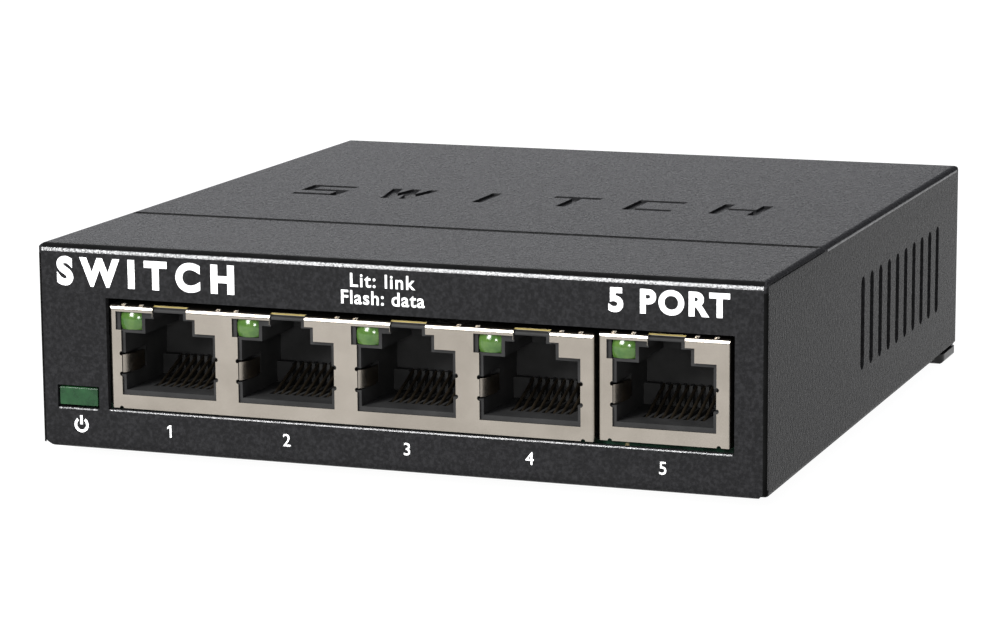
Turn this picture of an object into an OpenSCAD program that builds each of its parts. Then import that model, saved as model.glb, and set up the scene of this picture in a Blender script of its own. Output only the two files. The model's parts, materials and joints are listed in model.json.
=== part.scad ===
// Five-port desktop network switch: steel case, one board, a four-gang jack and a single jack.
// The case is drawn from the front, left, bottom corner of its steel, then placed by case_place().

/* [Case] */
// Width of the steel case
case_w = 94; // [92:1:100]
// Depth of the steel case, front face to rear face
case_d = 101; // [98:1:110]
// Height of the steel case without its feet
case_h = 25.9; // [25:0.1:28]
// Thickness of the sheet steel
sheet_t = 0.9; // [0.7:0.1:1.0]
// Outer radius of the folds along the sides and the rear
fold_r = 0.8; // [0.5:0.1:0.8]
// Outer radius of the folds above and below the front panel
front_fold_r = 1.2; // [0.8:0.1:1.4]
// Depth of the part of the top that is folded back from the front panel
strip_d = 25.9; // [22:0.1:30]
// Chamfer at the bottom corners of the front panel
corner_cut = 1.2; // [0.5:0.1:1.5]
// Radius of the front panel's upright edges
edge_r = 0.5; // [0.3:0.1:0.8]
// Height of the side panels' lower edge above the bottom plate
side_lift = 0.47; // [0.3:0.01:0.8]

/* [Vents] */
// Number of slots in each side
vent_count = 10; // [6:1:10]
// Distance between slot centres
vent_pitch = 4.7; // [4:0.1:4.7]
// Centre of the first slot behind the front face
vent_first = 45.3; // [42:0.1:48]
// Width of a slot
vent_w = 1.9; // [1.2:0.1:2.4]
// Height of a slot's lower end
vent_low = 6.95; // [6.5:0.05:9]
// Height of a slot's upper end
vent_high = 19.1; // [16:0.1:22]

/* [Jacks] */
// Distance between the ports of the four-gang jack
port_pitch = 15.77; // [15.4:0.01:16]
// Centre of the first port from the left side
first_port = 17.35; // [17:0.05:18]
// Centre of the separate fifth port from the left side
last_port = 81.38; // [81.2:0.02:82]
// Width of the four-gang jack
gang_w = 63.35; // [63:0.05:63.6]
// Width of the single jack
single_w = 16.2; // [15.8:0.1:16.4]
// Height of a jack above the board
jack_h = 13.1; // [13.1:0.1:13.4]
// Depth of a jack
jack_d = 16; // [16:0.5:18]
// Distance of the jack faces behind the front face
jack_recess = 0.5; // [0.2:0.1:0.8]
// Extra height at which the single jack sits
single_lift = 0.33; // [0:0.01:0.4]
// Thickness of the shields
shield_t = 0.25; // [0.2:0.05:0.3]
// Outer radius of the fold along the top of a shield
shield_r = 0.7; // [0.4:0.1:0.7]

/* [Contacts] */
// Number of contact springs in a port
contact_count = 8; // [4:2:8]
// Distance between contact springs
contact_pitch = 1.02; // [1.00:0.01:1.04]
// Radius of the contact wire
contact_r = 0.2; // [0.15:0.01:0.22]
// Rise of the relaxed springs towards the back, in degrees
contact_rise = 21; // [19:1:22]

/* [Board] */
// Height of the board's upper face above the underside of the case
board_top = 5.5; // [5.5:0.1:5.6]
// Thickness of the board
board_t = 1.6; // [1.2:0.2:1.6]
// Width of the board
board_w = 88; // [87:1:88]
// Depth of the board
board_d = 93.5; // [92:0.5:94]

/* [Rear] */
// Centre of the power inlet to the right of the case's centre line
inlet_x = 29; // [24:1:30]
// Distance of each cover screw from the centre line
cover_screw_x = 41; // [40:0.5:42]
// Height of the cover screws
cover_screw_z = 8; // [7:0.5:12]
// Height of a screw head
head_h = 1.9; // [1.5:0.1:2.2]

/* [Feet] */
// Side length of a rubber foot
foot_w = 9; // [7:0.5:10]
// Height of a rubber foot
foot_h = 1.3; // [1.2:0.1:3]
// Distance of the front feet's centres behind the front face
front_foot_y = 12; // [8:1:20]
// Distance of the front feet inside the side panels
front_foot_inset = 3; // [2:0.5:6]

/* [Hidden] */
$fn = 48;
// clearances between pieces
seam = 0.3;
slip = 0.1;
fit = 0.05;
// a short overlap that keeps cuts clean, and how far a cut runs past a face
eps = 0.01;
over = 1;

// case frame: x from the centre line, y from the front face, z from the underside of the steel
front_y = -(case_d + head_h) / 2;
half_w = case_w / 2;
inner_x = half_w - sheet_t;
lining_x = inner_x - slip;
strip_low = case_h - sheet_t;
tab_y = case_d - sheet_t - slip;
// the strip's side edges are thinned to this, and the side panels end under them
strip_edge = 0.45;
lip_z = case_h - strip_edge;
// chamfer along the upper front edge of the cover
front_break = 0.25;
// the bottom plate's thinned rim under the side panels starts behind the front corners
rim_t = side_lift - slip;
rim_start = 2;
// depth to which a folded part reaches into the sheet that it joins
root = sheet_t - 0.2;

// front panel openings, from the left side: left, lower, right, upper
jack_cut = [9.2, 5.3, 90.1, 19.4];
pipe_cut = [2.2, 5.2, 7.95, 8.05];

// jacks
port_x = [for (i = [0:3]) first_port + i * port_pitch - half_w];
single_x = last_port - half_w;
gang_offset = 0.07;
gang_x = (port_x[0] + port_x[3]) / 2 + gang_offset;
port_centres = concat(port_x, [single_x]);
port_lifts = [0, 0, 0, 0, single_lift];
shield_side_r = 0.35;
housing_low = 0.1;

// heights inside a jack, above the board
window_low = 1.72;
window_high = 9.95;
shoulder_high = 11.7;
floor_z = 2.3;
cavity_high = 9.55;
notch_low_top = 11.45;
notch_high_top = 12.3;
notch_z = 5;
lamp_low = 9.9;
lamp_high = 12.2;
led_z = 11.02;
spring_low = 4.35;
spring_high = 6.9;
// positions across a jack, from the middle of a port
window_half = 6.38;
cavity_half = 5.95;
notch_low_half = 3.2;
notch_high_half = 2.0;
shoulder_x = 3.68;
latch_cut = [-2.05, 2.52];
lamp_cut = [-7.1, -2.1];
led_x = -5.1;
led_w = 2.85;
led_h = 2.15;
led_leg_half = 1.2;
// depths inside a jack, behind its face
cavity_d = 12.1;
notch_low_d = 10;
notch_high_d = 8;
hinge_y = 3.9;
hinge_z = 1.8;
spring_run = 7.6;
bend_grow = 0.02;
comb_y = 10.9;
comb_z = 4.9;
groove_w = 0.62;
groove_low = 0.7;
tail_y = 13.4;
tail_room = 0.4;
// holes that end the shield's folds, and their distance from the middle of a fold
relief_r = 0.28;
relief_x = 1.2;
relief_edge = 1.4;
fold_edge = 3;

// screws
shank_r = 1.45;
tapped_r = 1.5;
clear_r = 1.7;
head_r = 2.8;
screw_len = 6;
board_screw_x = 40;
board_screw_y = [35, 89];
standoff_r = 2.9;

// power inlet
inlet_w = 9;
inlet_h = 11;
inlet_d = 14;
inlet_axis = 6.5;
inlet_r = 3.15;
inlet_pin_r = 1.05;
flange_t = 0.4;

// light pipe from the left side and the underside: left, lower, right, upper
pipe = [2.45, 5.55, 7.65, 7.85];
pipe_front = 0.2;
pipe_end = 9;
lamp_room = 0.8;

// security slot, keyholes
lock_x = -31;
lock_z = 13;
lock_w = 7;
lock_h = 3;
keyhole_x = 25;
keyhole_y = 50;
keyhole_r = 4;
keyhole_neck = 2;
keyhole_run = 7;

// label on the underside: width, depth, middle behind the front face, thickness
label_w = 38;
label_d = 26;
label_y = 77;
label_t = 0.15;

// places on the board, from the centre line and the front face
board_front = 3;
magnetics_y = 23.5;
chip_at = [-2, 53];
power_led_at = [5.1 - half_w, 7.5];
memory_at = [-26, 46];
crystal_at = [-25, 60];
regulator_at = [24, 70];
inductor_at = [12, 74];
diode_at = [20, 82];
capacitors_at = [[12, 88], [3, 88], [36, 70]];

// leaded packages: their size, the number of legs on a side and the height at which they stand
chip_size = [14, 14, 1.2];
chip_legs = 16;
magnetics_size = [13, 8.5, 4.2];
magnetics_legs = 12;
small_chip_size = [5, 4, 1.4];
small_chip_legs = 4;
diode_size = [4.4, 3.6, 2.2];
stand = 0.15;

// heat sink and the pad under it
sink_w = 24;
sink_h = 8;
pad_w = 12;
pad_t = 0.5;

// rows of small chip parts, each as [x, y, count, turn], with a part's size and the step in a row
resistor_rows = [[-35, 33, 12, 90], [2, 33, 12, 90], [-18, 71, 8, 0], [-34, 76, 6, 90]];
resistor_size = [1.6, 0.8, 0.45];
resistor_step = 2.6;
capacitor_rows = [
    [-33, 37, 10, 90], [5, 37, 10, 90], [-18, 40, 4, 0], [10, 40, 3, 0], [-34, 84, 6, 90],
];
capacitor_size = [1.6, 0.8, 0.8];
capacitor_step = 3.1;

// word pressed into the cover: each letter is a list of strokes in a 1 by 1 cell
word_x = [-33.3, 32.2];
word_y = [47.5, 55.9];
word_depth = 0.35;
stroke_w = 1.4;
letter_w = 6.6;
LETTERS = [
    [[[1, 1], [0, 1]], [[0, 1], [0, 0.5]], [[0, 0.5], [1, 0.5]], [[1, 0.5], [1, 0]], [[1, 0], [0, 0]]],
    [[[0, 1], [0.25, 0]], [[0.25, 0], [0.5, 1]], [[0.5, 1], [0.75, 0]], [[0.75, 0], [1, 1]]],
    [[[0.5, 1], [0.5, 0]]],
    [[[0, 1], [1, 1]], [[0.5, 1], [0.5, 0]]],
    [[[1, 1], [0, 1]], [[0, 1], [0, 0]], [[0, 0], [1, 0]]],
    [[[0, 1], [0, 0]], [[1, 1], [1, 0]], [[0, 0.5], [1, 0.5]]],
];

PORTS = [1, 2, 3, 4, 5];

// ---- helpers ----

// Places what is drawn in the case frame
module case_place() {
    translate([0, front_y, foot_h]) children();
}

// Box between two opposite corners
module span(low, high) {
    translate(low) cube(high - low);
}

// Rectangle between two corners; radii run lower left, lower right, upper right, upper left
module round_rect(low, high, radii) {
    corners = [low, [high.x, low.y], high, [low.x, high.y]];
    inward = [[1, 1], [-1, 1], [-1, -1], [1, -1]];
    difference() {
        translate(low) square(high - low);
        for (i = [0:3])
            if (radii[i] > 0)
                translate(corners[i]) square(2 * radii[i], center = true);
    }
    for (i = [0:3])
        if (radii[i] > 0)
            translate(corners[i] + radii[i] * inward[i]) circle(radii[i]);
}

// Extrusions of an outline along y and along x, between two positions
module along_y(from, to) {
    translate([0, to, 0]) rotate([90, 0, 0]) linear_extrude(to - from) children();
}
module along_x(from, to) {
    translate([from, 0, 0]) rotate([90, 0, 90]) linear_extrude(to - from) children();
}

// Slot with round ends, its length along y in its own plane
module slot_outline(width, low, high) {
    r = width / 2;
    translate([-r, low + r]) square([width, high - low - width]);
    translate([0, low + r]) circle(r);
    translate([0, high - r]) circle(r);
}

// ---- case ----

// The case as one solid block with folded edges
module case_block() {
    r = fold_r;
    front_r = front_fold_r;
    intersection() {
        along_y(0, case_d) round_rect([-half_w, 0], [half_w, case_h], [r, r, r, r]);
        along_x(-half_w, half_w) round_rect([0, 0], [case_d, case_h], [front_r, r, r, front_r]);
        linear_extrude(case_h)
            round_rect([-half_w, 0], [half_w, case_d], [edge_r, edge_r, r, r]);
    }
}

// Cuts that chamfer the lower corners of the front panel
module corner_cuts() {
    for (side = [-1, 1])
        translate([side * half_w, 0, 0]) along_y(-over, rim_start)
            rotate(45) square(corner_cut * sqrt(2), center = true);
}

// Keyhole: a round entry with a narrow run towards the rear
module keyhole() {
    circle(keyhole_r);
    translate([-keyhole_neck, 0]) square([2 * keyhole_neck, keyhole_run]);
    translate([0, keyhole_run]) circle(keyhole_neck);
}

// The folded wrap: bottom plate, front panel and the front strip of the top
module chassis_wrap() {
    wide = half_w + over;
    deep = case_d + over;
    difference() {
        case_block();
        span([-wide, sheet_t, sheet_t], [wide, deep, strip_low]);
        span([-wide, strip_d, sheet_t], [wide, deep, case_h + over]);
        span([-wide, tab_y, -over], [wide, deep, case_h]);
        for (side = [-1, 1])
            translate([side * (lining_x + half_w), 0, 0]) {
                span([-half_w, sheet_t, rim_t], [half_w, deep, lip_z]);
                span([-half_w, sheet_t, -over], [half_w, rim_start, lip_z]);
            }
        corner_cuts();
    }
}

// Flanges that the side panels lie over, and the lip under the front edge of the cover
module chassis_flanges() {
    flange_h = 5.2;
    return_d = 9;
    upper_flange = 4;
    lip_d = 4;
    lip_top = strip_low - fit;
    lip_half = lining_x - 3;
    half_t = sheet_t / 2;
    for (side = [-1, 1])
        translate([side * (lining_x - half_t), 0, 0]) {
            span([-half_t, half_t, sheet_t - root], [half_t, tab_y, flange_h]);
            span([-half_t, half_t, sheet_t - root], [half_t, return_d, strip_low + eps]);
            span([-half_t, half_t, lip_z - upper_flange], [half_t, strip_d, strip_low + eps]);
        }
    span([-lip_half, strip_d - lip_d, lip_top - sheet_t], [lip_half, strip_d, strip_low + eps]);
    span([-lip_half, strip_d - eps, lip_top - sheet_t], [lip_half, strip_d + lip_d, lip_top]);
}

// Upright tabs at the rear that the cover screws turn into
module chassis_tabs() {
    half = 4;
    for (side = [-1, 1])
        translate([side * cover_screw_x, 0, 0])
            span([-half, tab_y - sheet_t, sheet_t - root], [half, tab_y, cover_screw_z + half]);
}

module chassis() {
    color([0.17, 0.17, 0.18])
    case_place()
    difference() {
        union() {
            chassis_wrap();
            chassis_flanges();
            chassis_tabs();
        }
        translate([-half_w, 0, 0])
            for (cut = [jack_cut, pipe_cut])
                span([cut[0], -over, cut[1]], [cut[2], sheet_t + eps, cut[3]]);
        for (side = [-1, 1]) {
            translate([side * cover_screw_x, case_d, cover_screw_z])
                rotate([90, 0, 0]) cylinder(r = tapped_r, h = 4 * sheet_t);
            translate([side * keyhole_x, keyhole_y, -over]) linear_extrude(3 * over) keyhole();
        }
    }
}

// Strokes of the word that is pressed into the cover
module word_strokes() {
    step = (word_x[1] - word_x[0] - letter_w) / (len(LETTERS) - 1);
    cell = [letter_w - stroke_w, word_y[1] - word_y[0] - stroke_w];
    for (i = [0:len(LETTERS) - 1])
        translate([word_x[0] + i * step + stroke_w / 2, word_y[0] + stroke_w / 2])
            for (line = LETTERS[i]) {
                from = [line[0].x * cell.x, line[0].y * cell.y];
                to = [line[1].x * cell.x, line[1].y * cell.y];
                run = to - from;
                translate(from) rotate(atan2(run.y, run.x))
                    translate([-stroke_w / 2, -stroke_w / 2])
                        square([norm(run) + stroke_w, stroke_w]);
            }
}

// Five-sided shell: top, two sides and rear panel
module cover_shell() {
    wide = half_w + over;
    top = case_h + over;
    difference() {
        case_block();
        span([-inner_x, -over, -over], [inner_x, case_d - sheet_t, strip_low]);
        span([-wide, -over, -over], [wide, sheet_t + slip, top]);
        span([-wide, -over, -over], [wide, case_d + over, side_lift]);
        span([-wide, -over, lip_z - slip], [wide, strip_d + seam, top]);
        span([-inner_x, -over, strip_low - over], [inner_x, strip_d + seam, top]);
        translate([0, strip_d + seam, case_h]) along_x(-wide, wide)
            rotate(45) square(front_break * sqrt(2), center = true);
    }
}

module top_cover() {
    rear = [case_d - sheet_t - over, case_d + over];
    color([0.30, 0.30, 0.31])
    case_place()
    difference() {
        cover_shell();
        for (i = [0:vent_count - 1])
            translate([0, vent_first + i * vent_pitch, 0])
                along_x(-half_w - over, half_w + over) slot_outline(vent_w, vent_low, vent_high);
        translate([0, 0, case_h - word_depth]) linear_extrude(over) word_strokes();
        for (side = [-1, 1])
            translate([side * cover_screw_x, rear[1], cover_screw_z])
                rotate([90, 0, 0]) cylinder(r = clear_r, h = rear[1] - rear[0]);
        span([inlet_x - inlet_w / 2 - seam, rear[0], board_top - seam],
            [inlet_x + inlet_w / 2 + seam, rear[1], board_top + inlet_h + seam]);
        translate([lock_x, 0, lock_z]) along_y(rear[0], rear[1])
            rotate(90) slot_outline(lock_h, -lock_w / 2, lock_w / 2);
    }
}

// ---- screws, standoffs and feet ----

// Pan head screw, its head standing up from z = 0 and its shank hanging down
module pan_screw(length) {
    crown_r = 1.6 * head_r;
    recess = [2.9, 0.7, 2.2];
    difference() {
        union() {
            rotate_extrude() intersection() {
                union() {
                    square([head_r, head_h / 2]);
                    intersection() {
                        translate([0, head_h - crown_r]) circle(crown_r);
                        translate([0, 0.4 * head_h]) square([head_r, head_h]);
                    }
                }
                translate([0, -head_r]) square([2 * head_r, 4 * head_r]);
            }
            translate([0, 0, -length]) cylinder(r = shank_r, h = length + eps);
        }
        for (turn = [0, 90])
            rotate(turn) translate([0, 0, head_h]) cube(recess, center = true);
    }
}

module cover_screws() {
    color([0.2, 0.2, 0.21])
    case_place()
    for (side = [-1, 1])
        translate([side * cover_screw_x, case_d, cover_screw_z])
            rotate([-90, 0, 0]) rotate(30 + 20 * side) pan_screw(screw_len);
}

module board_screws() {
    reach = 2.4;
    color([0.75, 0.75, 0.73])
    case_place()
    for (side = [-1, 1])
        for (y = board_screw_y)
            translate([side * board_screw_x, y, board_top]) rotate(17 * side + y)
                pan_screw(board_t + reach);
}

module board_standoffs() {
    height = board_top - board_t - sheet_t;
    color([0.72, 0.6, 0.3])
    case_place()
    for (side = [-1, 1])
        for (y = board_screw_y)
            translate([side * board_screw_x, y, sheet_t]) difference() {
                cylinder(r = standoff_r, h = height, $fn = 6);
                translate([0, 0, -over]) cylinder(r = tapped_r, h = height + 2 * over);
            }
}

// Feet with rounded corners; the front ones sit further in than the rear ones
module rubber_feet() {
    lower_r = 0.5;
    corner_r = 1.5;
    half = foot_w / 2;
    upright = [lower_r, lower_r, 0, 0];
    places = [[half_w - front_foot_inset - half, front_foot_y], [half_w - half, case_d - half]];
    color([0.06, 0.06, 0.06])
    case_place()
    for (side = [-1, 1])
        for (place = places)
            translate([side * place.x, place.y, -foot_h]) intersection() {
                linear_extrude(foot_h)
                    round_rect([-half, -half], [half, half], [corner_r, corner_r, corner_r, corner_r]);
                along_y(-half, half) round_rect([-half, 0], [half, foot_h], upright);
                along_x(-half, half) round_rect([-half, 0], [half, foot_h], upright);
            }
}

module blank_label() {
    corner_r = 1;
    size = [label_w, label_d];
    color([0.85, 0.85, 0.84])
    case_place()
    translate([0, label_y, -label_t]) linear_extrude(label_t)
        round_rect(-size / 2, size / 2, [corner_r, corner_r, corner_r, corner_r]);
}

// ---- board and jacks ----

module circuit_board() {
    corner_r = 1;
    color([0.05, 0.3, 0.16])
    case_place()
    difference() {
        translate([0, board_front, board_top - board_t]) linear_extrude(board_t)
            round_rect([-board_w / 2, 0], [board_w / 2, board_d], [corner_r, corner_r, corner_r, corner_r]);
        for (side = [-1, 1])
            for (y = board_screw_y)
                translate([side * board_screw_x, y, 0]) cylinder(r = clear_r, h = board_top + over);
    }
}

// Places what is drawn in a jack's frame: x from its centre, y from its face, z from the board
module jack_place(centre, lift) {
    case_place() translate([centre, jack_recess, board_top + lift]) children();
}

// Distance of a contact from the middle of its port
function contact_x(i) = (i - (contact_count - 1) / 2) * contact_pitch;

// One port's hollow in the plastic: plug space, latch notch, contact grooves and light channel
module port_hollow() {
    leaf_room = 0.7;
    leaf_d = 6;
    groove_half = groove_w / 2;
    tail_top = 1.3;
    difference() {
        span([-cavity_half, -over, floor_z], [cavity_half, cavity_d, cavity_high]);
        span([-cavity_half - over, comb_y, floor_z - over], [cavity_half + over, cavity_d + over, comb_z]);
    }
    span([-notch_low_half, -over, notch_z], [notch_low_half, notch_low_d, notch_low_top]);
    span([-notch_high_half, -over, notch_z], [notch_high_half, notch_high_d, notch_high_top]);
    for (side = [-1, 1])
        translate([side * window_half, 0, 0])
            span([-leaf_room, -over, spring_low - slip], [leaf_room, leaf_d, spring_high + slip]);
    for (i = [0:contact_count - 1])
        translate([contact_x(i), 0, 0]) {
            span([-groove_half, hinge_y - seam, groove_low], [groove_half, cavity_d, comb_z + over]);
            span([-groove_half, cavity_d - over, groove_low], [groove_half, tail_y + tail_room, tail_top]);
            span([-groove_half, tail_y - tail_room, -over], [groove_half, tail_y + tail_room, tail_top]);
        }
    translate([led_x, 0, led_z]) {
        span([-led_w / 2 - fit, -over, -led_h / 2 - fit], [led_w / 2 + fit, jack_d, led_h / 2 + fit]);
        span([-led_leg_half, jack_d - 2, -led_z - over], [led_leg_half, jack_d, 0]);
    }
}

// A jack's outer form: r rounds the edges of the top, upright_r the upright edges
module jack_block(width, low, inset, r, upright_r) {
    half = width / 2 - inset;
    front = inset;
    back = jack_d - inset;
    high = jack_h - inset;
    intersection() {
        along_y(front, back) round_rect([-half, low], [half, high], [0, 0, upright_r, upright_r]);
        along_x(-half, half) round_rect([front, low], [back, high], [0, 0, r, r]);
        translate([0, 0, low]) linear_extrude(high - low)
            round_rect([-half, front], [half, back], [upright_r, upright_r, upright_r, upright_r]);
    }
}

// Moulded plastic body with one hollow for each port
module jack_housing(width, centres) {
    wall = shield_t + fit;
    difference() {
        jack_block(width, housing_low, wall, shield_r - wall, shield_side_r - wall);
        for (x = centres)
            translate([x, 0, 0]) port_hollow();
    }
}

// The part of a shield's face that is cut away at one port
module shield_window() {
    hole_r = 0.3;
    fold_end = shield_r + eps;
    span([-window_half, -over, window_low], [window_half, over, window_high]);
    span([-window_half + slip, -over, window_high - over], [shoulder_x, over, shoulder_high]);
    span([lamp_cut[0], -over, lamp_low], [lamp_cut[1], over, lamp_high]);
    span([latch_cut[0], -over, window_high - over], [latch_cut[1], fold_end, jack_h + over]);
    for (side = [-1, 1])
        for (z = [spring_low, spring_high])
            translate([side * window_half, over, z]) rotate([90, 0, 0])
                cylinder(r = hole_r, h = 2 * over);
}

// Leaf spring at one side of a window, bent back into the port
module shield_leaf(side) {
    leaf_run = 4.6;
    leaf_in = 0.9;
    margin = 0.25;
    outer = window_half + seam;
    inner = window_half - 0.02;
    tip = window_half - leaf_in;
    mirror([side > 0 ? 0 : 1, 0, 0])
    translate([0, 0, spring_low + margin]) linear_extrude(spring_high - spring_low - 2 * margin)
        polygon([
            [outer, eps], [outer, shield_t], [tip + shield_t, leaf_run],
            [tip, leaf_run], [inner, shield_t], [inner, eps],
        ]);
}

// Folded shield: face, top, sides and back, open to the board
module jack_shield(width, centres) {
    half = width / 2;
    between = [for (i = [1:1:len(centres) - 1]) (centres[i - 1] + centres[i]) / 2];
    fold_x = concat([-half + fold_edge], between, [half - fold_edge]);
    difference() {
        jack_block(width, 0, 0, shield_r, shield_side_r);
        jack_block(width, -over, shield_t, shield_r - shield_t, shield_side_r - shield_t);
        for (x = centres)
            translate([x, 0, 0]) shield_window();
        for (x = fold_x)
            for (side = [-1, 1])
                translate([x + side * relief_x, shield_r, jack_h]) rotate([90, 0, 0])
                    cylinder(r = relief_r, h = shield_r + over);
        for (side = [-1, 1])
            translate([side * (half - relief_edge), shield_t + eps, 0]) rotate([90, 0, 0])
                cylinder(r = relief_r, h = over);
    }
    for (x = centres)
        for (side = [-1, 1])
            translate([x, 0, 0]) shield_leaf(side);
}

// The sprung part of one port's contacts: a wire that rises from a round bend at its front
module contact_springs(port) {
    bend_r = contact_r + bend_grow;
    color([0.85, 0.68, 0.3])
    jack_place(port_centres[port - 1], port_lifts[port - 1])
    for (i = [0:contact_count - 1])
        translate([contact_x(i), hinge_y, hinge_z]) {
            rotate([0, 90, 0]) cylinder(r = bend_r, h = 2 * bend_r, center = true);
            rotate([contact_rise - 90, 0, 0])
                cylinder(r = contact_r, h = spring_run / cos(contact_rise));
        }
}

// The fixed part of the contacts: a run under the floor of the port and a leg to the board
module contact_tails(centres) {
    r = contact_r;
    run_z = groove_low + r;
    for (x = centres)
        for (i = [0:contact_count - 1])
            translate([x + contact_x(i), 0, 0]) {
                span([-r, hinge_y - slip, run_z - r], [r, tail_y + r, run_z + r]);
                span([-r, tail_y - r, 0], [r, tail_y + r, run_z]);
            }
}

module gang_jack_housing() {
    color([0.06, 0.06, 0.07])
    jack_place(gang_x, 0) jack_housing(gang_w, [for (x = port_x) x - gang_x]);
}

module gang_jack_shield() {
    color([0.75, 0.71, 0.66])
    jack_place(gang_x, 0) jack_shield(gang_w, [for (x = port_x) x - gang_x]);
}

module single_jack_housing() {
    color([0.06, 0.06, 0.07])
    jack_place(single_x, single_lift) jack_housing(single_w, [0]);
}

module single_jack_shield() {
    color([0.75, 0.71, 0.66])
    jack_place(single_x, single_lift) jack_shield(single_w, [0]);
}

module gang_contact_tails() {
    color([0.85, 0.68, 0.3])
    jack_place(0, 0) contact_tails(port_x);
}

module single_contact_tails() {
    color([0.85, 0.68, 0.3])
    jack_place(single_x, single_lift) contact_tails([0]);
}

// Rectangular lamp in the upper corner of a port, with two legs down to the board
module port_led(port) {
    lens_d = 5;
    dome_r = 2.6;
    leg = 0.25;
    leg_x = 0.6;
    leg_y = jack_d - 1;
    foot_z = -led_z - port_lifts[port - 1];
    color([0.2, 0.75, 0.3])
    jack_place(port_centres[port - 1], port_lifts[port - 1])
    translate([led_x, 0, led_z]) {
        intersection() {
            span([-led_w / 2, 0, -led_h / 2], [led_w / 2, lens_d, led_h / 2]);
            translate([0, dome_r, 0]) sphere(dome_r);
        }
        span([-led_w / 2, dome_r, -led_h / 2], [led_w / 2, lens_d, led_h / 2]);
        for (side = [-leg_x, leg_x])
            translate([side, 0, 0]) {
                span([-leg, lens_d - over, -leg], [leg, leg_y + leg, leg]);
                span([-leg, leg_y - leg, foot_z], [leg, leg_y + leg, leg]);
            }
    }
}

// ---- parts on the board ----

// Moulded package with bent legs along two or four sides, standing on the board at its centre
module leaded_chip(size, legs, four_sides) {
    leg_half = 0.175;
    leg_out = 0.9;
    leg_bend = leg_out / 2;
    leg_t = 0.2;
    leg_z = size.z / 2;
    translate([-size.x / 2, -size.y / 2, stand]) cube(size);
    for (turn = four_sides ? [0, 90, 180, 270] : [0, 180])
        rotate(turn) {
            reach = (turn % 180 == 0) ? size.y / 2 : size.x / 2;
            run = (turn % 180 == 0) ? size.x : size.y;
            step = run / (legs + 1);
            for (i = [1:legs])
                translate([-run / 2 + i * step, reach, 0]) {
                    span([-leg_half, -leg_t, leg_z], [leg_half, leg_bend, leg_z + leg_t]);
                    span([-leg_half, leg_bend - leg_t, 0], [leg_half, leg_bend, leg_z + leg_t]);
                    span([-leg_half, leg_bend - leg_t, 0], [leg_half, leg_out, leg_t]);
                }
        }
}

// Places what is drawn standing on the board
module board_place(at) {
    case_place() translate([at.x, at.y, board_top]) children();
}

module magnetics(port) {
    color([0.08, 0.08, 0.08])
    board_place([port_centres[port - 1], magnetics_y]) leaded_chip(magnetics_size, magnetics_legs, false);
}

module power_led() {
    size = [1.6, 0.8, 0.6];
    color([0.9, 0.95, 0.8])
    board_place(power_led_at) translate([0, 0, size.z / 2]) cube(size, center = true);
}

// Clear green bar from the lamp on the board to the front panel
module power_light_pipe() {
    nose_r = 0.25;
    bend_r = 1.5;
    lamp_half = [1.2, 0.8];
    color([0.25, 0.6, 0.3])
    case_place()
    difference() {
        translate([-half_w, 0, 0]) intersection() {
            along_y(pipe_front, pipe_end)
                round_rect([pipe[0], pipe[1]], [pipe[2], pipe[3]], [0, 0, nose_r, nose_r]);
            along_x(0, pipe[2] + over)
                round_rect([pipe_front, pipe[1] - over], [pipe_end, pipe[3]], [0, 0, bend_r, nose_r]);
        }
        translate([power_led_at.x, power_led_at.y, board_top])
            span([-lamp_half.x, -lamp_half.y, -over], [lamp_half.x, lamp_half.y, lamp_room]);
    }
}

module switch_chip() {
    color([0.07, 0.07, 0.08])
    board_place(chip_at) leaded_chip(chip_size, chip_legs, true);
}

module thermal_pad() {
    color([0.6, 0.62, 0.66])
    board_place(chip_at) translate([-pad_w / 2, -pad_w / 2, chip_size.z + stand])
        cube([pad_w, pad_w, pad_t]);
}

// Heat sink: a plate with parallel fins
module heat_sink() {
    plate_t = 1.5;
    fin_t = 1;
    fins = 7;
    step = (sink_w - fin_t) / (fins - 1);
    color([0.35, 0.36, 0.38])
    board_place(chip_at)
    translate([-sink_w / 2, -sink_w / 2, chip_size.z + stand + pad_t]) {
        cube([sink_w, sink_w, plate_t]);
        for (i = [0:fins - 1])
            translate([i * step, 0, 0]) cube([fin_t, sink_w, sink_h]);
    }
}

module memory_chip() {
    color([0.07, 0.07, 0.08])
    board_place(memory_at) leaded_chip(small_chip_size, small_chip_legs, false);
}

module crystal() {
    length = 11;
    width = 4.6;
    height = 3.4;
    color([0.75, 0.75, 0.73])
    board_place(crystal_at) linear_extrude(height)
        rotate(90) slot_outline(width, -length / 2, length / 2);
}

module regulator_chip() {
    color([0.07, 0.07, 0.08])
    board_place(regulator_at) leaded_chip(small_chip_size, small_chip_legs, false);
}

// Shielded power coil: square ferrite body with chamfered corners between two end caps
module power_inductor() {
    half = 3.5;
    cut = 1.2;
    height = 3;
    cap = [0.5, 2.4, 1.5];
    color([0.22, 0.22, 0.23])
    board_place(inductor_at) {
        linear_extrude(height) polygon([
            [-half + cut, -half], [half - cut, -half], [half, -half + cut], [half, half - cut],
            [half - cut, half], [-half + cut, half], [-half, half - cut], [-half, -half + cut],
        ]);
        for (side = [-1, 1])
            translate([side * (half + cap.x / 2 - fit), 0, cap.z / 2]) cube(cap, center = true);
    }
}

// Upright cans with a scored top on a square base
module filter_capacitors() {
    can_r = 3.15;
    can_h = 7;
    base = [2 * can_r + 0.4, 2 * can_r + 0.4, 1];
    score = [3.6, 0.3, 0.3];
    color([0.72, 0.73, 0.75])
    for (at = capacitors_at)
        board_place(at) difference() {
            union() {
                cylinder(r = can_r, h = can_h);
                translate([0, 0, base.z / 2]) cube(base, center = true);
            }
            for (turn = [45, 135])
                translate([0, 0, can_h]) rotate(turn) cube(score, center = true);
        }
}

module protection_diode() {
    color([0.08, 0.08, 0.08])
    board_place(diode_at) rotate(90) leaded_chip(diode_size, 1, false);
}

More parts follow.
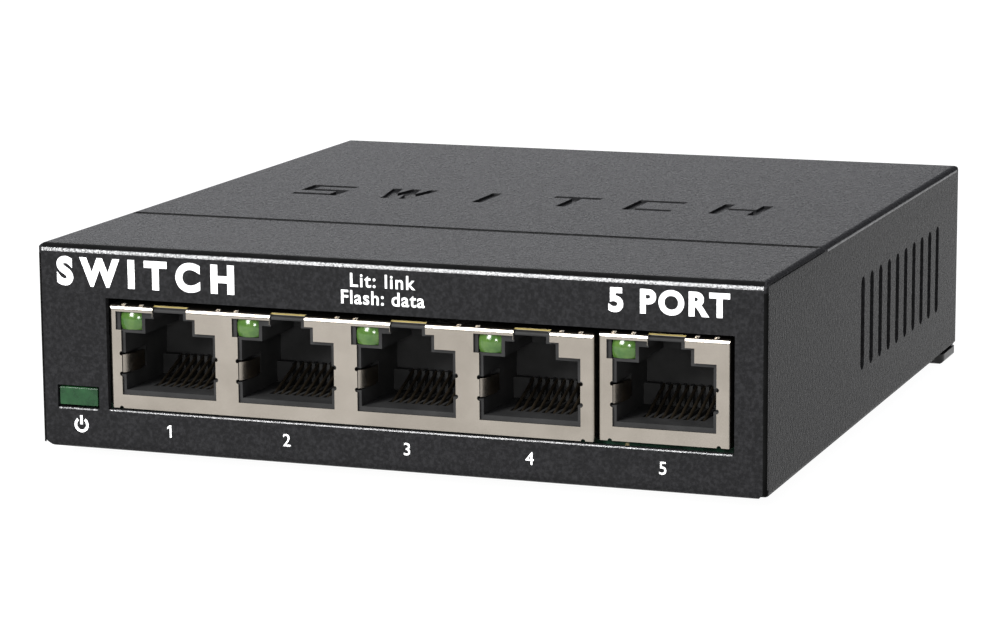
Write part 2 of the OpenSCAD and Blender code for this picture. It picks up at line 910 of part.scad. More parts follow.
// Rows of small chip parts
module chip_rows(rows, size, step) {
    for (row = rows)
        for (i = [0:row[2] - 1])
            board_place([row[0] + i * step, row[1]])
                rotate(row[3]) translate([0, 0, size.z / 2]) cube(size, center = true);
}

module chip_resistors() {
    color([0.1, 0.1, 0.12])
    chip_rows(resistor_rows, resistor_size, resistor_step);
}

module chip_capacitors() {
    color([0.6, 0.48, 0.34])
    chip_rows(capacitor_rows, capacitor_size, capacitor_step);
}

// ---- power inlet ----

// Places what is drawn in the inlet's frame: y runs inwards from its face, z from the board
module inlet_place() {
    case_place() translate([inlet_x, case_d, board_top]) mirror([0, 1, 0]) children();
}

module dc_jack_housing() {
    bore_d = 10;
    rim_d = 2.5;
    rear_h = 8;
    barrel_r = 4.3;
    slot_half = 1.2;
    slot = [2.6, 9.2];
    wall_bottom = inlet_axis - inlet_r + 0.6;
    half = inlet_w / 2;
    color([0.05, 0.05, 0.05])
    inlet_place()
    difference() {
        union() {
            span([-half, 0, housing_low], [half, rim_d, inlet_h]);
            span([-half, 0, housing_low], [half, inlet_d, rear_h]);
            translate([0, inlet_d, inlet_axis]) rotate([90, 0, 0]) cylinder(r = barrel_r, h = inlet_d);
        }
        translate([0, bore_d, inlet_axis]) rotate([90, 0, 0]) cylinder(r = inlet_r, h = bore_d + over);
        translate([0, inlet_d + over, inlet_axis]) rotate([90, 0, 0])
            cylinder(r = inlet_pin_r, h = inlet_d);
        span([-slot_half, slot[0], -over], [slot_half, slot[1], wall_bottom]);
    }
}

// Centre pin with a flange and a leg behind the housing
module dc_jack_pin() {
    tip_y = 1.2;
    leg_half = 1.6;
    back = inlet_d + flange_t;
    color([0.8, 0.78, 0.72])
    inlet_place() {
        translate([0, back, inlet_axis]) rotate([90, 0, 0])
            cylinder(r = inlet_pin_r - fit, h = back - tip_y);
        span([-leg_half, inlet_d, 0], [leg_half, back, inlet_axis + leg_half]);
    }
}

// Leaf that touches the plug's sleeve through the slot in the housing's floor
module dc_jack_spring() {
    half = 1;
    t = 0.3;
    front = 3;
    back = 8.6;
    leaf_z = 3;
    tip_z = 3.6;
    color([0.8, 0.78, 0.72])
    inlet_place() {
        span([-half, back, 0], [half, back + t, leaf_z]);
        span([-half, front, leaf_z - t], [half, back + t, leaf_z]);
        span([-half, front, leaf_z - t], [half, front + t, tip_z]);
    }
}

chassis();
top_cover();
cover_screws();
rubber_feet();
blank_label();
circuit_board();
board_screws();
board_standoffs();
gang_jack_housing();
gang_jack_shield();
single_jack_housing();
single_jack_shield();
for (port = PORTS) {
    contact_springs(port);
    port_led(port);
    magnetics(port);
}
gang_contact_tails();
single_contact_tails();
power_led();
power_light_pipe();
switch_chip();
thermal_pad();
heat_sink();
memory_chip();
crystal();
regulator_chip();
power_inductor();
filter_capacitors();
protection_diode();
chip_resistors();
chip_capacitors();
dc_jack_housing();
dc_jack_pin();
dc_jack_spring();
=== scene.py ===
import json
import math

import bmesh
import bpy
from mathutils import Matrix, Vector


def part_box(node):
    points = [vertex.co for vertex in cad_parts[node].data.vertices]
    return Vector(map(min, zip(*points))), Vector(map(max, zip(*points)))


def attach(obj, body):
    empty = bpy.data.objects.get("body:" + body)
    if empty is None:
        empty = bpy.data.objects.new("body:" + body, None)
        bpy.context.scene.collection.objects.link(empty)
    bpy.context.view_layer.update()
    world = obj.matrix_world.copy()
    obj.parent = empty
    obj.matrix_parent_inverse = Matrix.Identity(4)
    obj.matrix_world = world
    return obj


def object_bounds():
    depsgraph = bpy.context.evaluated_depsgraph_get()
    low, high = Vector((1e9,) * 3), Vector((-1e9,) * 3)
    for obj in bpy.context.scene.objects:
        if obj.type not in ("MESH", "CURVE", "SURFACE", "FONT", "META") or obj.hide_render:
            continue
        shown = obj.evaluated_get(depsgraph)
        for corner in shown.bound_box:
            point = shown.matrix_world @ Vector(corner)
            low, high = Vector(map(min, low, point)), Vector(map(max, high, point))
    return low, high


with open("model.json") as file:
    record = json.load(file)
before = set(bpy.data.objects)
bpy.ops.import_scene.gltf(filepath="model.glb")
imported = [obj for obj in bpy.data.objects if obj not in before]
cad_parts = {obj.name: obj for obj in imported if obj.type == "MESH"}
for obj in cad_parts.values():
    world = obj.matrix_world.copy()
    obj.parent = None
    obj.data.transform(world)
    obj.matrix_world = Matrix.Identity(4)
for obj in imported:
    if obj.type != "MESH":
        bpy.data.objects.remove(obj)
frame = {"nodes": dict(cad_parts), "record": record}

MM = 0.001
cad_low, cad_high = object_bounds()
NODES = frame["nodes"]
PANEL_LEFT, PANEL_FRONT, PANEL_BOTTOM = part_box("chassis")[0]
PORTS = [m["pos_m"] for m in frame["record"]["mounts"] if m["name"].startswith("port_")]

# The sheet metal's sizes, as in the CAD model: outer radius of each fold, the depth of the strip
# that the front panel's sheet forms on top, and the gap between that strip and the cover.
FRONT_FOLD = 1.2 * MM
SIDE_FOLD = 0.8 * MM
CORNER_BEND = 0.5 * MM
STRIP_DEPTH = 25.9 * MM
SEAM = 0.3 * MM

# How far a mark stands off the panel, and half the thickness of a letter's ink.
MARK_LIFT = 0.02 * MM
INK = 0.01 * MM

# Foot and top of the port numbers, in mm above the underside of the steel.
NUMBER_LOW, NUMBER_HIGH = 2.3, 3.85


# ---- camera ----

def make_camera():
    """Camera at the photograph's viewing angle: a long lens, a little above and to the right."""
    azimuth, elevation, roll = math.radians(20.072), math.radians(10.588), math.radians(-0.389)
    from_low_corner = Vector((198.205, -375.06, 95.815)) * MM
    back = Vector((
        math.sin(azimuth) * math.cos(elevation),
        -math.cos(azimuth) * math.cos(elevation),
        math.sin(elevation),
    ))
    right = Vector((0, 0, 1)).cross(back).normalized()
    up = back.cross(right)
    rolled_right = math.cos(roll) * right + math.sin(roll) * up
    rolled_up = math.cos(roll) * up - math.sin(roll) * right
    data = bpy.data.cameras.new("camera")
    data.lens = 123.31
    data.sensor_width = 36.0
    data.clip_start = 0.01
    data.clip_end = 50
    camera = bpy.data.objects.new("camera", data)
    turn = Matrix((rolled_right, rolled_up, back)).transposed().to_4x4()
    camera.matrix_world = Matrix.Translation(cad_low + from_low_corner) @ turn
    bpy.context.scene.collection.objects.link(camera)
    bpy.context.scene.camera = camera


# ---- materials ----

class Shader:
    """A node material with a Principled shader and helpers that add nodes to it."""

    def __init__(self, name):
        self.material = bpy.data.materials.new(name)
        self.material.use_nodes = True
        self.tree = self.material.node_tree
        self.tree.nodes.clear()
        self.output = self.add("ShaderNodeOutputMaterial")
        self.bsdf = self.add("ShaderNodeBsdfPrincipled")
        self.link(self.bsdf, "BSDF", self.output, "Surface")
        self.place = self.add("ShaderNodeTexCoord")

    def add(self, kind, **settings):
        node = self.tree.nodes.new(kind)
        for key, value in settings.items():
            setattr(node, key, value)
        return node

    def link(self, source, out, target, into):
        self.tree.links.new(source.outputs[out], target.inputs[into])

    def set(self, **values):
        for key, value in values.items():
            self.bsdf.inputs[key.replace("_", " ")].default_value = value

    def noise(self, scale, detail=4.0, roughness=0.55, stretch=(1, 1, 1)):
        mapping = self.add("ShaderNodeMapping")
        mapping.inputs["Scale"].default_value = stretch
        self.link(self.place, "Object", mapping, "Vector")
        noise = self.add("ShaderNodeTexNoise")
        noise.inputs["Scale"].default_value = scale
        noise.inputs["Detail"].default_value = detail
        noise.inputs["Roughness"].default_value = roughness
        self.link(mapping, "Vector", noise, "Vector")
        return noise

    def ramp(self, source, out, stops):
        ramp = self.add("ShaderNodeValToRGB")
        elements = ramp.color_ramp.elements
        while len(elements) < len(stops):
            elements.new(0.5)
        for element, (position, colour) in zip(elements, stops):
            element.position = position
            element.color = (*colour, 1)
        self.link(source, out, ramp, "Fac")
        return ramp

    def spread(self, source, out, low, high):
        """The source's 0 to 1 mapped to low to high."""
        mapped = self.add("ShaderNodeMapRange")
        mapped.inputs["To Min"].default_value = low
        mapped.inputs["To Max"].default_value = high
        self.link(source, out, mapped, "Value")
        return mapped

    def bump(self, source, out, distance, strength=1.0, below=None):
        bump = self.add("ShaderNodeBump")
        bump.inputs["Distance"].default_value = distance
        bump.inputs["Strength"].default_value = strength
        self.link(source, out, bump, "Height")
        if below:
            self.link(below, "Normal", bump, "Normal")
        self.link(bump, "Normal", self.bsdf, "Normal")
        return bump


def powder_coat(name, dark, light, gloss):
    """Wrinkled powder coat: rounded grains with narrow valleys between them, half gloss."""
    shader = Shader(name)
    grain = shader.noise(scale=2400, detail=3, roughness=0.6)
    peel = shader.noise(scale=2000, detail=2, roughness=0.5)
    colour = shader.ramp(grain, "Fac", [(0.42, dark), (0.68, light)])
    shader.link(colour, "Color", shader.bsdf, "Base Color")
    shader.set(Specular_IOR_Level=gloss)
    rough = shader.spread(grain, "Fac", low=0.34, high=0.2)
    shader.link(rough, "Result", shader.bsdf, "Roughness")
    wave = shader.bump(peel, "Fac", distance=0.00009, strength=0.85)
    shader.bump(grain, "Fac", distance=0.00006, strength=0.85, below=wave)
    return shader.material


def painted_highlight():
    """Painted highlight for folds and cut edges: a grey much paler than the powder coat, glossy, with
    small smooth facets that catch light.
    """
    shader = Shader("painted_highlight")
    grain = shader.noise(scale=3400, detail=2)
    cloud = shader.noise(scale=500, detail=3)
    # The bright grey, some six times paler than the coat, is painted highlight.
    dark, bright = (0.01, 0.01, 0.0105), (0.12, 0.12, 0.125)
    colour = shader.ramp(grain, "Fac", [(0.42, dark), (0.64, bright)])
    shader.link(colour, "Color", shader.bsdf, "Base Color")
    shader.set(Specular_IOR_Level=0.8)
    rough = shader.spread(cloud, "Fac", low=0.4, high=0.2)
    shader.link(rough, "Result", shader.bsdf, "Roughness")
    shader.bump(grain, "Fac", distance=0.00008, strength=0.9)
    return shader.material


def satin_nickel():
    """Rolled nickel-plated sheet: faint lines along the sheet, small pits and cloudy tarnish."""
    shader = Shader("satin_nickel")
    lines = shader.noise(scale=900, detail=6, stretch=(0.08, 1, 1))
    cloud = shader.noise(scale=170, detail=3)
    pits = shader.noise(scale=5200, detail=2)
    dark, light = (0.29, 0.262, 0.226), (0.35, 0.318, 0.277)
    colour = shader.ramp(cloud, "Fac", [(0.3, dark), (0.7, light)])
    shader.link(colour, "Color", shader.bsdf, "Base Color")
    shader.set(Metallic=1.0)
    rough = shader.spread(lines, "Fac", low=0.18, high=0.3)
    shader.link(rough, "Result", shader.bsdf, "Roughness")
    rolled = shader.bump(lines, "Fac", distance=0.00001, strength=0.4)
    shader.bump(pits, "Fac", distance=0.00001, strength=0.35, below=rolled)
    return shader.material


def moulded(name, dark, light, rough_low, rough_high, gloss=0.5):
    """Moulded plastic with a fine spark-eroded grain."""
    shader = Shader(name)
    grain = shader.noise(scale=6000, detail=2)
    cloud = shader.noise(scale=300, detail=4)
    colour = shader.ramp(cloud, "Fac", [(0.3, dark), (0.7, light)])
    shader.link(colour, "Color", shader.bsdf, "Base Color")
    shader.set(Specular_IOR_Level=gloss)
    rough = shader.spread(cloud, "Fac", rough_low, rough_high)
    shader.link(rough, "Result", shader.bsdf, "Roughness")
    shader.bump(grain, "Fac", distance=0.00001, strength=0.3)
    return shader.material


def metal(name, dark, light, rough_low, rough_high):
    """Plain metal with tarnish in clouds and a fine grain."""
    shader = Shader(name)
    grain = shader.noise(scale=2600, detail=3)
    cloud = shader.noise(scale=350, detail=4)
    colour = shader.ramp(cloud, "Fac", [(0.3, dark), (0.7, light)])
    shader.link(colour, "Color", shader.bsdf, "Base Color")
    shader.set(Metallic=1.0)
    rough = shader.spread(grain, "Fac", rough_low, rough_high)
    shader.link(rough, "Result", shader.bsdf, "Roughness")
    shader.bump(grain, "Fac", distance=0.00001, strength=0.3)
    return shader.material


def clear_plastic(name, deep, pale, weight, rough_low=0.06, rough_high=0.16, gloss=0.5):
    """Tinted clear plastic, mottled where it is thick and slightly wavy on top."""
    shader = Shader(name)
    flow = shader.noise(scale=700, detail=3, stretch=(1, 0.4, 1))
    fleck = shader.noise(scale=2400, detail=2)
    colour = shader.ramp(flow, "Fac", [(0.34, deep), (0.68, pale)])
    shader.link(colour, "Color", shader.bsdf, "Base Color")
    shader.set(Transmission_Weight=weight, IOR=1.5, Specular_IOR_Level=gloss)
    rough = shader.spread(fleck, "Fac", rough_low, rough_high)
    shader.link(rough, "Result", shader.bsdf, "Roughness")
    shader.bump(flow, "Fac", distance=0.00005, strength=0.35)
    return shader.material


def solder_mask():
    """Green solder mask over copper: paler tracks and pads under the lacquer, with small vias."""
    shader = Shader("solder_mask")
    tracks = shader.add("ShaderNodeTexVoronoi", distance="CHEBYCHEV", feature="F1")
    tracks.inputs["Scale"].default_value = 420
    shader.link(shader.place, "Object", tracks, "Vector")
    bare, track = (0.006, 0.02, 0.012), (0.012, 0.042, 0.024)
    copper = shader.ramp(tracks, "Distance", [(0.30, bare), (0.36, track)])
    vias = shader.add("ShaderNodeTexVoronoi", feature="F1")
    vias.inputs["Scale"].default_value = 300
    shader.link(shader.place, "Object", vias, "Vector")
    white, black, via_gold = (1, 1, 1), (0, 0, 0), (0.35, 0.3, 0.16, 1)
    dots = shader.ramp(vias, "Distance", [(0.08, white), (0.11, black)])
    mix = shader.add("ShaderNodeMix", data_type="RGBA")
    mix.inputs["B"].default_value = via_gold
    shader.link(dots, "Color", mix, "Factor")
    shader.tree.links.new(copper.outputs["Color"], mix.inputs[6])
    shader.tree.links.new(mix.outputs[2], shader.bsdf.inputs["Base Color"])
    weave = shader.noise(scale=1800, detail=3)
    rough = shader.spread(weave, "Fac", low=0.22, high=0.4)
    shader.link(rough, "Result", shader.bsdf, "Roughness")
    shader.bump(tracks, "Distance", distance=0.00002, strength=0.5)
    return shader.material


def ink(name, dark, light):
    """Screen-printed ink with an uneven edge-to-edge cover and the grain of the coat under it."""
    shader = Shader(name)
    cover = shader.noise(scale=2600, detail=3)
    colour = shader.ramp(cover, "Fac", [(0.35, dark), (0.6, light)])
    shader.link(colour, "Color", shader.bsdf, "Base Color")
    rough = shader.spread(cover, "Fac", low=0.5, high=0.75)
    shader.link(rough, "Result", shader.bsdf, "Roughness")
    shader.bump(cover, "Fac", distance=0.00006, strength=0.5)
    return shader.material


def make_materials():
    """One finish for each material slot of the record. After its name, each gives its dark and its
    light colour, and a clear plastic gives its transmission. Two numbers after those are the
    lowest and the highest roughness, and gloss is the specular level."""
    coat_dark, coat_light = (0.0108, 0.0108, 0.0113), (0.0192, 0.0192, 0.0202)
    lamp_deep, lamp_pale = (0.036, 0.098, 0.018), (0.078, 0.15, 0.032)
    pipe_deep, pipe_pale = (0.006, 0.034, 0.011), (0.014, 0.062, 0.021)
    foot_dark, foot_light = (0.005, 0.005, 0.005), (0.01, 0.01, 0.01)
    jack_dark, jack_light = (0.016, 0.016, 0.016), (0.026, 0.026, 0.026)
    return {
        "case_front": powder_coat("front_powder", coat_dark, coat_light, gloss=0.018),
        "case_cover": powder_coat("cover_powder", coat_dark, coat_light, gloss=0.016),
        "black_screw": metal("black_zinc", (0.03, 0.03, 0.03), (0.06, 0.06, 0.06), 0.3, 0.5),
        "foot_rubber": moulded("foot_rubber", foot_dark, foot_light, 0.25, 0.4, gloss=0.2),
        "label_film": moulded("label_film", (0.62, 0.62, 0.61), (0.7, 0.7, 0.69), 0.35, 0.5),
        "board_laminate": solder_mask(),
        "steel_screw": metal("zinc", (0.5, 0.5, 0.48), (0.64, 0.64, 0.62), 0.25, 0.4),
        "standoff_metal": metal("brass", (0.62, 0.46, 0.2), (0.76, 0.58, 0.28), 0.25, 0.4),
        "jack_plastic": moulded("jack_plastic", jack_dark, jack_light, 0.45, 0.6, gloss=0.08),
        "shield_nickel": satin_nickel(),
        # Gold contacts coloured a dark brown far below gold's own colour: painted shade, as they sit deep
        # in the jacks.
        "contact_metal": metal("gold", (0.06, 0.048, 0.034), (0.12, 0.095, 0.065), 0.4, 0.55),
        "port_lamp": clear_plastic("green_lens", lamp_deep, lamp_pale, 0.25, 0.1, 0.18),
        "magnetics_case": moulded("epoxy", (0.015, 0.015, 0.015), (0.026, 0.026, 0.026), 0.4, 0.6),
        "lamp_body": clear_plastic("lamp_lens", (0.6, 0.66, 0.42), (0.75, 0.8, 0.55), 0.5),
        "light_pipe": clear_plastic("pipe_green", pipe_deep, pipe_pale, 0.2, 0.15, 0.3, gloss=0.2),
        "chip_plastic": moulded("chip_epoxy", (0.012, 0.012, 0.013), (0.022, 0.022, 0.023), 0.45, 0.65),
        "pad_rubber": moulded("pad_rubber", (0.4, 0.42, 0.46), (0.5, 0.52, 0.56), 0.6, 0.8),
        "sink_metal": metal("anodised", (0.05, 0.05, 0.055), (0.08, 0.08, 0.085), 0.35, 0.5),
        "crystal_can": metal("can_steel", (0.5, 0.5, 0.49), (0.62, 0.62, 0.6), 0.25, 0.4),
        "ferrite": moulded("ferrite", (0.04, 0.04, 0.043), (0.06, 0.06, 0.064), 0.6, 0.8),
        "capacitor_can": metal("can_aluminium", (0.55, 0.56, 0.58), (0.68, 0.69, 0.7), 0.25, 0.4),
        "resistor_body": moulded("resistor_glaze", (0.02, 0.02, 0.022), (0.03, 0.03, 0.032), 0.2, 0.35),
        "capacitor_body": moulded("capacitor_clay", (0.3, 0.2, 0.12), (0.38, 0.27, 0.17), 0.5, 0.7),
        "inlet_plastic": moulded("inlet_plastic", (0.01, 0.01, 0.01), (0.018, 0.018, 0.018), 0.35, 0.5),
        "inlet_metal": metal("nickel", (0.5, 0.48, 0.44), (0.62, 0.6, 0.55), 0.2, 0.35),
    }


def dress_nodes(materials):
    """Gives every CAD node the material of its slot in the record."""
    for row in frame["record"]["subparts"]:
        mesh = NODES[row["node"]].data
        mesh.materials.clear()
        mesh.materials.append(materials[row["material_slot"]])


# ---- printed marks, small trim, and strips of painted highlight and painted shade ----

def add_mesh(name, shape, material):
    """New object from a bmesh, which is used up."""
    mesh = bpy.data.meshes.new(name)
    shape.to_mesh(mesh)
    shape.free()
    mesh.materials.append(material)
    piece = bpy.data.objects.new(name, mesh)
    bpy.context.scene.collection.objects.link(piece)
    return piece


def shield_box(port):
    """Low and high corners of the steel shield that a port belongs to."""
    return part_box("gang_jack_shield" if port < 5 else "single_jack_shield")


def front_mark(obj):
    """Puts a drawn mark on the front panel, where it rides with the case."""
    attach(obj, "base")


def printed_text(name, words, left, right, low, high, weight, material):
    """Text on the front panel between two heights (mm above the underside of the steel). Its letters
    are spaced to reach from left to right (mm from the panel's left side), or centred there if
    the text has one letter. Weight is how far each stroke grows outward, in mm before scaling."""
    data = bpy.data.curves.new(name, "FONT")
    data.body = words
    data.size = 4 * MM
    data.offset = weight * MM
    data.extrude = INK
    mark = bpy.data.objects.new(name, data)
    bpy.context.scene.collection.objects.link(mark)

    def measure(spacing):
        data.space_character = spacing
        bpy.context.view_layer.update()
        corners = [Vector(c) for c in mark.bound_box]
        return [f(c[axis] for c in corners) for axis in (0, 1) for f in (min, max)]

    plain, trial = 1.0, 1.5
    x0, x1, y0, y1 = measure(plain)
    grow = (high - low) * MM / (y1 - y0)
    if len(words) > 1:
        trial_x0, trial_x1, _, _ = measure(trial)
        slope = (trial_x1 - trial_x0 - x1 + x0) / (trial - plain)
        x0, x1, y0, y1 = measure(plain + ((right - left) * MM / grow - (x1 - x0)) / slope)
    mark.rotation_euler = (math.radians(90), 0, 0)
    mark.scale = (grow, grow, 1)
    mark.location = (
        PANEL_LEFT + (left + right) / 2 * MM - (x0 + x1) / 2 * grow,
        PANEL_FRONT - MARK_LIFT,
        PANEL_BOTTOM + low * MM - y0 * grow,
    )
    data.materials.append(material)
    front_mark(mark)


def flat_piece(name, outlines, material):
    """Flat mesh from closed outlines given in mm on the front panel."""
    shape = bmesh.new()
    front = PANEL_FRONT - MARK_LIFT
    for outline in outlines:
        corners = [(PANEL_LEFT + x * MM, front, PANEL_BOTTOM + z * MM) for x, z in outline]
        shape.faces.new([shape.verts.new(corner) for corner in corners])
    front_mark(add_mesh(name, shape, material))


def power_symbol(material):
    """Open ring with a bar rising through its gap: sizes in mm, and half the gap in degrees."""
    x, z, outer, stroke, gap = 5.4, 3.1, 0.98, 0.36, 35
    bar_low, bar_high = z + 0.05, z + 1.2
    inner = outer - stroke
    outlines = []
    steps = 28
    for i in range(steps):
        turns = [math.radians(gap + (360 - 2 * gap) * (i + k) / steps) for k in (0, 1)]
        ring = [(r * math.sin(t), r * math.cos(t)) for r, t in
                ((inner, turns[0]), (outer, turns[0]), (outer, turns[1]), (inner, turns[1]))]
        outlines.append([(x + a, z + b) for a, b in ring])
    left, right = x - stroke / 2, x + stroke / 2
    outlines.append([(left, bar_low), (right, bar_low), (right, bar_high), (left, bar_high)])
    flat_piece("power_mark", outlines, material)


def number_one(material):
    """Upright with a flag, drawn as its own outline."""
    left, right, tip = 17.53, 17.77, 17.2
    root_low, tip_low, tip_high = 3.54, 3.34, 3.6
    stem = [(left, NUMBER_LOW), (right, NUMBER_LOW), (right, NUMBER_HIGH), (left, NUMBER_HIGH)]
    slant = [(tip, tip_low), (left, root_low), (left, NUMBER_HIGH), (tip, tip_high)]
    flat_piece("number_1", [stem, slant], material)


def printed_marks():
    """Generic wording, port numbers and a power symbol on the front panel."""
    white = ink("white_ink", (0.74, 0.74, 0.74), (0.86, 0.86, 0.86))
    # Each row: words, left and right end, foot and top of the letters, weight of the strokes
    wording = {
        "mark_left": ("SWITCH", 2.6, 26.7, 20.7, 24.4, 0.2),
        "mark_right": ("5 PORT", 74.7, 89.5, 21.4, 24.4, 0.18),
        "legend_upper": ("Lit: link", 42.0, 50.4, 22.6, 24.3, 0.06),
        "legend_lower": ("Flash: data", 40.8, 51.6, 20.5, 22.2, 0.06),
    }
    for name, (words, left, right, low, high, weight) in wording.items():
        printed_text(name, words, left, right, low, high, weight, white)
    half, weight = 0.5, 0.02
    for number, place in zip("2345", (33.3, 49.1, 64.8, 81.4)):
        left, right = place - half, place + half
        printed_text("number_" + number, number, left, right, NUMBER_LOW, NUMBER_HIGH, weight, white)
    number_one(white)
    power_symbol(white)


def latch_edge(port, material):
    """Bare brass edge of the shield, where its top is cut back at a port's latch notch."""
    low, high = shield_box(port)
    centre = PORTS[port - 1][0]
    notch_left, set_back, drop = 2.05 * MM, 0.55 * MM, 0.17 * MM
    corner = (centre - notch_left, low.y + set_back, high.z - drop)
    size = (4.57 * MM, 0.18 * MM, 0.16 * MM)
    shape = bmesh.new()
    bmesh.ops.create_cube(shape, size=1)
    for vert in shape.verts:
        vert.co = [c + s * (v + 0.5) for c, s, v in zip(corner, size, vert.co)]
    strip = add_mesh("latch_edge_" + str(port), shape, material)
    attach(strip, "base")


def latch_edges():
    brass = metal("raw_brass", (0.3, 0.24, 0.08), (0.42, 0.34, 0.12), 0.3, 0.45)
    for port in range(1, 6):
        latch_edge(port, brass)


def add_strip(name, rows, material, body, smooth=True):
    """Thin strip through rows of two points each, in metres."""
    shape = bmesh.new()
    edges = [[shape.verts.new(point) for point in row] for row in rows]
    for below, above in zip(edges, edges[1:]):
        shape.faces.new((below[0], below[1], above[1], above[0]))
    piece = add_mesh(name, shape, material)
    if smooth:
        piece.data.shade_smooth()
    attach(piece, body)


def edge_highlight(name, left, right, height, material):
    """Painted highlight on the front of an opening's lower cut edge: a thin strip sloping back to the
    edge. Its ends and height are mm from the panel's left side and from the underside of the steel."""
    ends = PANEL_LEFT + left * MM, PANEL_LEFT + right * MM
    edge = PANEL_BOTTOM + height * MM
    foot, crest, edge_front = (0.0, -0.18), (-0.06, -0.16), (-0.01, 0.0)
    rows = [[(x, PANEL_FRONT + y * MM, edge + z * MM) for x in ends]
            for y, z in (foot, crest, edge_front)]
    add_strip(name, rows, material, "base", smooth=False)


def edge_highlights(material):
    """Painted highlights below the opening for the jacks and below the one for the power lamp."""
    edge_highlight("jack_edge_highlight", left=9.4, right=89.9, height=5.3, material=material)
    edge_highlight("lamp_edge_highlight", left=2.4, right=7.75, height=5.2, material=material)


def leaf_lips(material):
    """Lip of the leaf spring at each port's left side, bent in to lead the plug."""
    below, above, from_centre = 1.2 * MM, 1.05 * MM, 6.3 * MM
    profile = [(0.0, 0.12), (0.42, 0.62), (0.85, 1.7), (1.0, 3.4)]
    for port, (centre, _, middle) in enumerate(PORTS, 1):
        low, _ = shield_box(port)
        ends = middle - below, middle + above
        edge = centre - from_centre
        rows = [[(edge + x * MM, low.y + y * MM, z) for z in ends] for x, y in profile]
        add_strip("leaf_lip_" + str(port), rows, material, "base")


def fold_arc(radius, start, stop):
    """Points on a fold, a hair proud of it, between two angles in degrees that count from its first
    face. Each is given as the distances inward from that face and from the face it turns into."""
    steps, proud = 12, 0.02 * MM
    reach = radius + proud
    turns = [math.radians(start + (stop - start) * i / steps) for i in range(steps + 1)]
    return [(radius - reach * math.cos(t), radius - reach * math.sin(t)) for t in turns]


def front_fold_band(name, start, stop, material):
    """Band between two angles of the fold that joins the front panel to the top strip."""
    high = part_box("chassis")[1]
    ends = PANEL_LEFT + CORNER_BEND, high.x - CORNER_BEND
    rows = [[(x, PANEL_FRONT + inward, high.z - down) for x in ends]
            for inward, down in fold_arc(FRONT_FOLD, start, stop)]
    add_strip(name, rows, material, "base")


def side_fold_lines(material):
    """Painted highlight: a pale line along each fold between the cover's top and its side panels."""
    low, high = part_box("top_cover")
    behind_seam, short_of_rear = 1 * MM, 1.5 * MM
    ends = PANEL_FRONT + STRIP_DEPTH + SEAM + behind_seam, high.y - short_of_rear
    for name, face, toward in (("left", low.x, 1), ("right", high.x, -1)):
        rows = [[(face + toward * inward, y, high.z - down) for y in ends]
                for inward, down in fold_arc(SIDE_FOLD, start=6, stop=24)]
        add_strip(name + "_fold_line", rows, material, "cover")


def corner_shades(material):
    """Near-black band round each of the two upright bends at the front panel's ends: painted shade."""
    low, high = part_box("chassis")
    above_bottom, below_top = 0.6 * MM, 1.3 * MM
    ends = low.z + above_bottom, high.z - below_top
    for name, face, toward in (("left", low.x, 1), ("right", high.x, -1)):
        rows = [[(face + toward * inward, PANEL_FRONT + back, z) for z in ends]
                for inward, back in fold_arc(CORNER_BEND, start=12, stop=84)]
        add_strip(name + "_corner_bend", rows, material, "base")


def seam_shades(material):
    """Near-black bands along the seam on top, painted shade: a bevel on the cover's front edge, and a
    flat band on the rear of the front panel's strip."""
    low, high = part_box("top_cover")
    bevel, width, proud = 0.25 * MM, 0.75 * MM, 0.012 * MM
    ends = low.x + SIDE_FOLD, high.x - SIDE_FOLD
    strip_rear = PANEL_FRONT + STRIP_DEPTH
    cover_front = strip_rear + SEAM
    rows = [[(x, cover_front - proud, high.z - bevel) for x in ends],
            [(x, cover_front + bevel - proud, high.z + proud) for x in ends]]
    add_strip("cover_seam_edge", rows, material, "cover")
    rows = [[(x, y, high.z + proud) for x in ends] for y in (strip_rear - width, strip_rear)]
    add_strip("strip_seam_edge", rows, material, "base")


# ---- stage ----

def make_stage():
    """White floor under the feet that shines by itself, like the ground of a light tent."""
    shader = Shader("floor")
    cloud = shader.noise(scale=3, detail=2)
    dark, light, half_width = (0.035, 0.035, 0.035), (0.04, 0.04, 0.04), 4
    colour = shader.ramp(cloud, "Fac", [(0.3, dark), (0.7, light)])
    shader.link(colour, "Color", shader.bsdf, "Base Color")
    shader.set(Roughness=0.8, Emission_Strength=0.97)
    shader.bsdf.inputs["Emission Color"].default_value = (1, 1, 1, 1)
    shape = bmesh.new()
    bmesh.ops.create_grid(shape, x_segments=1, y_segments=1, size=half_width)
    floor = add_mesh("floor", shape, shader.material)
    floor.location.z = cad_low.z


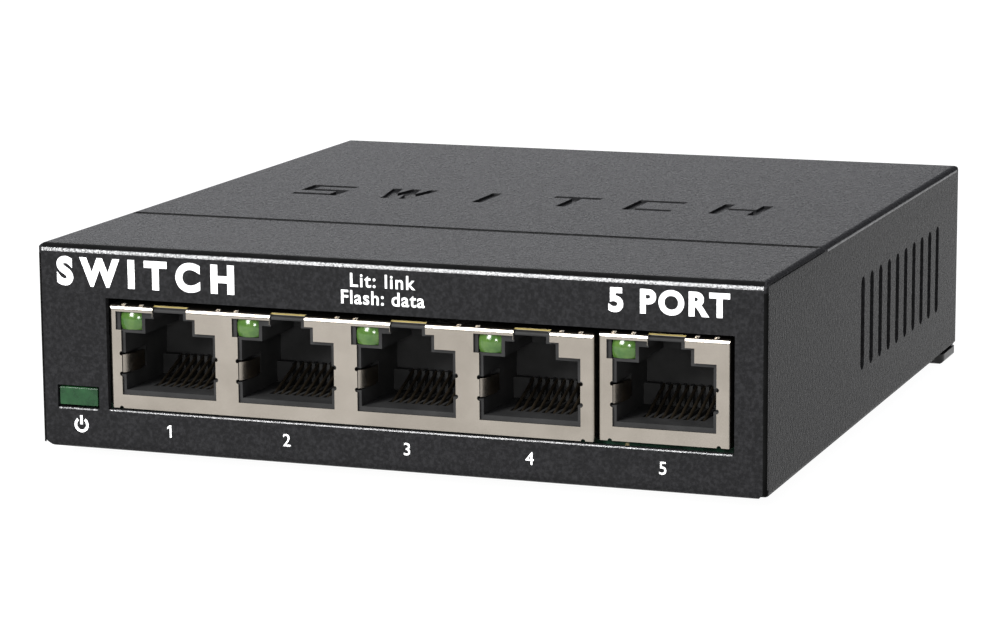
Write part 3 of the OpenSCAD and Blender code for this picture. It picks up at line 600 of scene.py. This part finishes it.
def make_world():
    """Soft surround: bright low down, most of all behind and to the left, dimmer from there up to
    half height, and bright again overhead."""
    world = bpy.data.worlds.new("studio")
    world.use_nodes = True
    tree = world.node_tree
    background = tree.nodes["Background"]
    place = tree.nodes.new("ShaderNodeTexCoord")
    split = tree.nodes.new("ShaderNodeSeparateXYZ")
    tree.links.new(place.outputs["Generated"], split.inputs["Vector"])

    def change(source, start, stop, first, last):
        """Goes from first to last while the source goes from start to stop."""
        node = tree.nodes.new("ShaderNodeMapRange")
        for name, value in (("From Min", start), ("From Max", stop), ("To Min", first), ("To Max", last)):
            node.inputs[name].default_value = value
        tree.links.new(source, node.inputs["Value"])
        return node.outputs["Result"]

    toward = tree.nodes.new("ShaderNodeVectorMath")
    toward.operation = "DOT_PRODUCT"
    back_left = (-0.64, 0.76, 0.10)
    toward.inputs[1].default_value = back_left
    tree.links.new(place.outputs["Generated"], toward.inputs[0])
    low_down = change(split.outputs["Z"], start=0.08, stop=0.30, first=0.62, last=0.055)
    behind = change(toward.outputs["Value"], start=0.55, stop=1.0, first=0.12, last=1.15)
    overhead = change(split.outputs["Z"], start=0.45, stop=0.95, first=0.0, last=1.8)
    strength = tree.nodes.new("ShaderNodeMath")
    strength.operation = "MULTIPLY_ADD"
    for part, socket in zip((low_down, behind, overhead), strength.inputs):
        tree.links.new(part, socket)
    tree.links.new(strength.outputs["Value"], background.inputs["Strength"])
    background.inputs["Color"].default_value = (0.9, 0.915, 0.985, 1)
    bpy.context.scene.world = world


def add_light(name, place, target, size, power):
    """Rectangular lamp that faces the target: places and sizes in metres, power in watts."""
    data = bpy.data.lights.new(name, "AREA")
    data.shape = "RECTANGLE"
    data.size, data.size_y = size
    data.energy = power
    light = bpy.data.objects.new(name, data)
    light.location = place
    light.rotation_mode = "QUATERNION"
    light.rotation_quaternion = (Vector(place) - Vector(target)).to_track_quat("Z", "Y")
    bpy.context.scene.collection.objects.link(light)


def light_stage():
    """Tall softbox in front, a weak fill, and three lamps behind."""
    centre = (cad_low + cad_high) / 2
    add_light("front_tall", (-0.235, -0.61, 0.42), centre, size=(0.26, 0.48), power=10.5)
    add_light("fill", (0.22, -0.66, 0.16), centre, size=(0.12, 0.12), power=1.6)
    add_light("rear_high", (-0.45, 0.75, 0.9), centre, size=(0.6, 0.6), power=9)
    add_light("back_left", (-0.38, 0.98, 0.225), centre, size=(0.5, 0.14), power=0.3)
    add_light("back_right", (0.42, 0.92, 0.12), centre, size=(0.14, 0.14), power=0.12)


make_camera()
finishes = make_materials()
dress_nodes(finishes)
printed_marks()
latch_edges()
# Pale glossy strips on the folds and on the lower cut edges: painted highlights.
highlight_material = painted_highlight()
edge_highlights(highlight_material)
# Pale line along the fold at the front panel's top edge: painted highlight.
front_fold_band("front_fold_line", start=11, stop=32, material=highlight_material)
side_fold_lines(highlight_material)
leaf_lips(finishes["shield_nickel"])
# Near-black strips at the seam, at the corner bends and on the front fold: painted shade.
painted_shade = moulded("painted_shade", (0.002, 0.002, 0.002), (0.005, 0.005, 0.005), 0.6, 0.8, gloss=0.02)
seam_shades(painted_shade)
corner_shades(painted_shade)
front_fold_band("front_fold_shade", start=37, stop=72, material=painted_shade)
make_stage()
make_world()
light_stage()
bpy.context.scene.view_settings.view_transform = "Standard"
